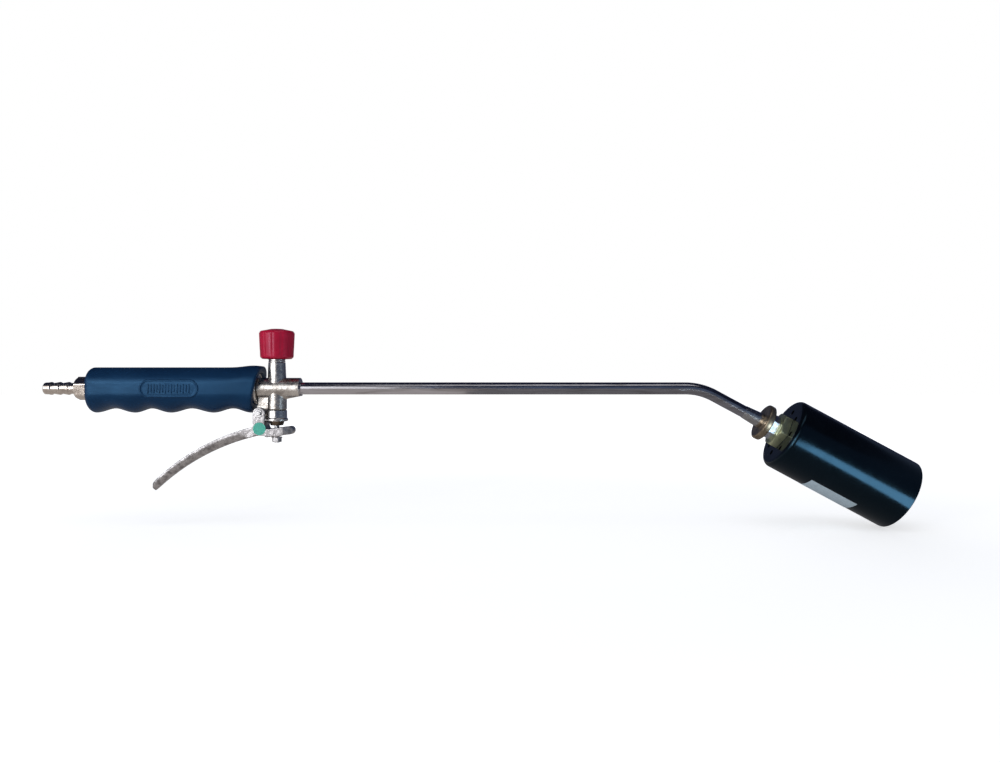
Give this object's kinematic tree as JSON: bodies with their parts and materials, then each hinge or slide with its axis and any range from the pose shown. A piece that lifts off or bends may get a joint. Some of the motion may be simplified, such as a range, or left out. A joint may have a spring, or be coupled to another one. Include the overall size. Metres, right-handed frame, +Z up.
{
  "type": "propane torch",
  "caption": "Roofing torch: hose tail, grooved blue handle, regulating knob, trigger lever with pull-open valve, bent lance and black burner bell.",
  "frame": {"origin": "on the hose tail's axis, at the middle of its barbed length", "axes": "+X from the hose tail towards the burner, +Z up to the red knob, +Y across the torch"},
  "size_m": [0.7172, 0.06, 0.1627],
  "materials": {
    "nickel_casting": "nickel plated casting, satin, slightly uneven",
    "chrome_tube": "bright chromed tube",
    "nickel_turned": "turned and nickel plated brass",
    "plain_steel": "plain steel",
    "zinc_yellow": "yellow zinc plated steel",
    "brown_brass": "darkened brass",
    "brass": "turned brass",
    "handle_blue": "satin moulded plastic, fine texture",
    "knob_red": "glossy moulded plastic",
    "seal_black": "matt rubber",
    "fibre_red": "pressed fibre",
    "spring_steel": "bright spring wire",
    "bell_black": "gloss black enamel",
    "heat_steel": "plain heat resisting steel",
    "sticker_green": "plain paper sticker",
    "label_pale": "plain foil label, slightly crinkled"
  },
  "bodies": {
    "torch": {"hose_tail": "nickel_turned", "tail_seal": "fibre_red", "inlet_tube": "plain_steel", "handle_grip": "handle_blue", "handle_flange": "nickel_casting", "valve_body": "nickel_casting", "gland_nut": "nickel_casting", "spindle_packing": "seal_black", "packing_washer": "brass", "return_spring": "spring_steel", "bonnet": "nickel_casting", "bonnet_gasket": "fibre_red", "stem_o_ring": "seal_black", "gland_bush": "brown_brass", "lever_pin": "plain_steel", "pin_clip": "plain_steel", "lance_tube": "chrome_tube", "tube_ferrule": "chrome_tube", "neck_collar": "brown_brass", "injector_jet": "brass", "mixer_body": "nickel_turned", "lock_nut": "zinc_yellow", "backing_washer": "plain_steel", "burner_tube": "heat_steel", "flame_holder": "heat_steel", "burner_bell": "bell_black", "bell_label": "label_pale"},
    "lever": {"lever": "nickel_casting", "lever_sticker": "sticker_green"},
    "stem": {"poppet": "brass", "poppet_seal": "seal_black", "valve_stem": "plain_steel", "stem_washer": "plain_steel", "stem_nut": "plain_steel"},
    "spindle": {"regulator_spindle": "brass"},
    "knob": {"control_knob": "knob_red", "knob_screw": "plain_steel"}
  },
  "joints": [
    {"name": "lever_pivot", "type": "hinge", "parent": "torch", "child": "lever", "pos_m": [0.1656, 0, -0.0204], "axis": [0, 1, 0], "range_deg": [0, 13], "stiffness_Nm_per_rad": 0.5, "springref_deg": -20.05},
    {"name": "stem_slide", "type": "slide", "parent": "torch", "child": "stem", "axis": [0, 0, -1], "range_m": [0, 0.003], "deforming": ["return_spring"]},
    {"name": "spindle_lift", "type": "slide", "parent": "torch", "child": "spindle", "axis": [0, 0, 1], "range_m": [0, 0.0015]},
    {"name": "knob_turn", "type": "hinge", "parent": "spindle", "child": "knob", "pos_m": [0.1785, 0, 0.03], "axis": [0, 0, 1], "range_deg": [0, 720]}
  ],
  "couplings": [
    {"joint": "stem_slide", "follows": "lever_pivot", "m_per_rad": 0.0129},
    {"joint": "knob_turn", "follows": "spindle_lift", "rad_per_m": 8377.6}
  ]
}
